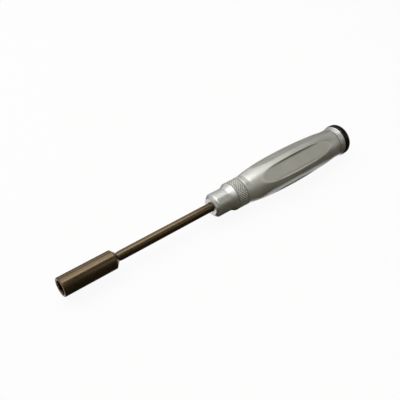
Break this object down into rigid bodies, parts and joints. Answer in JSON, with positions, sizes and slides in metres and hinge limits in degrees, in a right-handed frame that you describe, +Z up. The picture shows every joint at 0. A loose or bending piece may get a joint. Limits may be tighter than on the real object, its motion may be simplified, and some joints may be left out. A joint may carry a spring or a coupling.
{
  "type": "nut driver",
  "caption": "Nut driver with a hex socket on a straight coated shaft, a knurled ring, a barrel grip with five long sunk panels and a black palm cap that spins freely.",
  "frame": {"origin": "on the surface the driver lies on, under the middle of its length", "axes": "+X along the driver from the socket mouth to the palm cap, +Z up, square to the floor of the grip panel that faces down"},
  "size_m": [0.1932, 0.0212, 0.0203],
  "materials": {
    "coated_steel": "glossy bronze-brown hard coating",
    "polished_aluminium": "polished, fine turning lines",
    "satin_aluminium": "satin grey",
    "black_cap": "glossy black",
    "bearing_steel": "ground and polished",
    "cage_brass": "stamped",
    "blackened_steel": "black oxide"
  },
  "bodies": {
    "driver": {"socket": "coated_steel", "shaft": "coated_steel", "nose": "polished_aluminium", "tip_set_screw": "blackened_steel", "knurled_ring": "satin_aluminium", "handle_grip": "satin_aluminium", "tail_ferrule": "polished_aluminium", "bearing_outer_race": "bearing_steel", "bearing_circlip": "blackened_steel"},
    "palm_cap": {"swivel_cap": "black_cap", "cap_screw": "blackened_steel", "cap_washer": "bearing_steel", "bearing_inner_race": "bearing_steel"},
    "ball_cage": {"bearing_cage": "cage_brass", "bearing_ball_1": "bearing_steel", "bearing_ball_2": "bearing_steel", "bearing_ball_3": "bearing_steel", "bearing_ball_4": "bearing_steel", "bearing_ball_5": "bearing_steel", "bearing_ball_6": "bearing_steel", "bearing_ball_7": "bearing_steel"}
  },
  "joints": [
    {"name": "cap_spin", "type": "hinge", "parent": "driver", "child": "palm_cap", "pos_m": [0.08815, 0, 0.00956], "axis": [1, 0, 0], "continuous": true},
    {"name": "cage_spin", "type": "hinge", "parent": "driver", "child": "ball_cage", "pos_m": [0.08815, 0, 0.00956], "axis": [1, 0, 0], "continuous": true}
  ],
  "couplings": [
    {"joint": "cage_spin", "follows": "cap_spin", "ratio": 0.36667}
  ]
}
